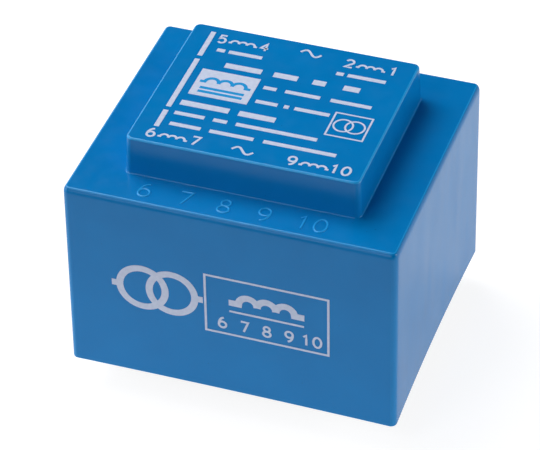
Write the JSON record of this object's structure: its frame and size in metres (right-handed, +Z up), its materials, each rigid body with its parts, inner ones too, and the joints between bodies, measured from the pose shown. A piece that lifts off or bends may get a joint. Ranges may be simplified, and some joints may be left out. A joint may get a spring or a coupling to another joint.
{
  "type": "pcb transformer",
  "caption": "Small encapsulated mains transformer in a stepped blue plastic case, with a laminated core and a chambered coil, held to a circuit board by its solder pins.",
  "frame": {"origin": "centre of the pin pattern, on the plane of the case's rim that seats on the board", "axes": "+X along the long side, +Y from the side of pins 6 to 10 to the side of pins 1 to 5, +Z up from the board, with the pins reaching below zero"},
  "size_m": [0.041, 0.035, 0.035],
  "materials": {
    "case_plastic": "moulded blue, slightly glossy",
    "potting_resin": "cast, dark",
    "bobbin_plastic": "moulded, off-white",
    "core_steel": "punched silicon steel with an insulating coat",
    "copper_wire": "enamelled copper",
    "insulating_tape": "thin yellow film",
    "solder": "bright tin solder",
    "tinned_pin": "tinned"
  },
  "bodies": {
    "root": {"case": "case_plastic", "potting_compound": "potting_resin", "bobbin": "bobbin_plastic", "e_lamination_01": "core_steel", "e_lamination_02": "core_steel", "e_lamination_03": "core_steel", "e_lamination_04": "core_steel", "e_lamination_05": "core_steel", "e_lamination_06": "core_steel", "e_lamination_07": "core_steel", "e_lamination_08": "core_steel", "e_lamination_09": "core_steel", "e_lamination_10": "core_steel", "e_lamination_11": "core_steel", "e_lamination_12": "core_steel", "e_lamination_13": "core_steel", "e_lamination_14": "core_steel", "e_lamination_15": "core_steel", "e_lamination_16": "core_steel", "e_lamination_17": "core_steel", "e_lamination_18": "core_steel", "e_lamination_19": "core_steel", "e_lamination_20": "core_steel", "i_lamination_01": "core_steel", "i_lamination_02": "core_steel", "i_lamination_03": "core_steel", "i_lamination_04": "core_steel", "i_lamination_05": "core_steel", "i_lamination_06": "core_steel", "i_lamination_07": "core_steel", "i_lamination_08": "core_steel", "i_lamination_09": "core_steel", "i_lamination_10": "core_steel", "i_lamination_11": "core_steel", "i_lamination_12": "core_steel", "i_lamination_13": "core_steel", "i_lamination_14": "core_steel", "i_lamination_15": "core_steel", "i_lamination_16": "core_steel", "i_lamination_17": "core_steel", "i_lamination_18": "core_steel", "i_lamination_19": "core_steel", "i_lamination_20": "core_steel", "primary_winding_inner": "copper_wire", "primary_winding_outer": "copper_wire", "secondary_winding_inner": "copper_wire", "secondary_winding_outer": "copper_wire", "primary_tape_inner": "insulating_tape", "primary_tape_outer": "insulating_tape", "secondary_tape_inner": "insulating_tape", "secondary_tape_outer": "insulating_tape", "solder_joints": "solder", "pin_1": "tinned_pin", "pin_2": "tinned_pin", "pin_4": "tinned_pin", "pin_5": "tinned_pin", "pin_6": "tinned_pin", "pin_7": "tinned_pin", "pin_9": "tinned_pin", "pin_10": "tinned_pin"}
  },
  "joints": []
}
